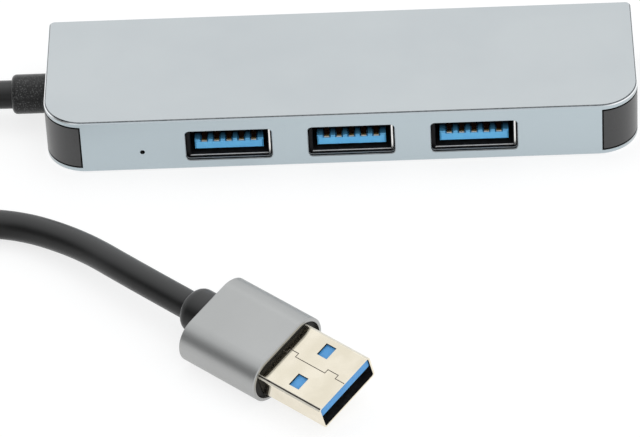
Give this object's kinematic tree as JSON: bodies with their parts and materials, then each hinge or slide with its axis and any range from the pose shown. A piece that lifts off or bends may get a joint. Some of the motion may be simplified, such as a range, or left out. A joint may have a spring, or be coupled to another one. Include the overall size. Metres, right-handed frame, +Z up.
{
  "type": "usb hub",
  "caption": "Slim rounded aluminium USB 3 hub with a row of Type-A ports along its front edge, black end caps and a short captive lead ending in a Type-A plug.",
  "frame": {"origin": "middle of the housing's flat underside", "axes": "+X along the housing away from the lead, +Y from the port face to the back, +Z up"},
  "size_m": [0.1695, 0.0971, 0.0101],
  "materials": {
    "silver_aluminium": "bead-blasted, clear anodised",
    "black_plastic": "fine moulded texture",
    "black_pvc": "satin",
    "blue_plastic": "satin",
    "plated_steel": "bright nickel plate",
    "gold_plate": "gold plate",
    "board_laminate": "solder mask",
    "film": "amber film",
    "chip_black": "epoxy",
    "crystal_can": "satin",
    "ceramic": "fired ceramic",
    "resistor_black": "glaze",
    "tantalum": "moulded",
    "fuse_green": "satin",
    "solder": "tin",
    "lamp_white": "gloss",
    "clear_plastic": "polished",
    "wire_colours": "satin",
    "wire_red_black": "satin"
  },
  "bodies": {
    "root": {"chip_capacitors": "ceramic", "chip_resistors": "resistor_black", "circuit_board": "board_laminate", "crystal": "crystal_can", "housing_tube": "silver_aluminium", "hub_controller": "chip_black", "insulating_film": "film", "lead": "black_pvc", "lead_boot": "black_pvc", "lead_data_wires": "wire_colours", "lead_jacket_end": "black_pvc", "lead_power_wires": "wire_red_black", "left_end_cap": "black_plastic", "light_pipe": "clear_plastic", "plug_boot": "black_pvc", "plug_core": "black_plastic", "plug_insulator": "blue_plastic", "plug_sleeve": "silver_aluminium", "plug_superspeed_contacts": "gold_plate", "plug_tip_shell": "plated_steel", "plug_usb2_contacts": "gold_plate", "port_1_insulator": "blue_plastic", "port_1_shell": "plated_steel", "port_1_superspeed_contacts": "gold_plate", "port_1_usb2_contacts": "gold_plate", "port_2_insulator": "blue_plastic", "port_2_shell": "plated_steel", "port_2_superspeed_contacts": "gold_plate", "port_2_usb2_contacts": "gold_plate", "port_3_insulator": "blue_plastic", "port_3_shell": "plated_steel", "port_3_superspeed_contacts": "gold_plate", "port_3_usb2_contacts": "gold_plate", "port_capacitors": "tantalum", "port_fuses": "fuse_green", "power_inductor": "chip_black", "right_end_cap": "black_plastic", "solder_joints": "solder", "status_led": "lamp_white", "voltage_regulator": "chip_black"}
  },
  "joints": []
}
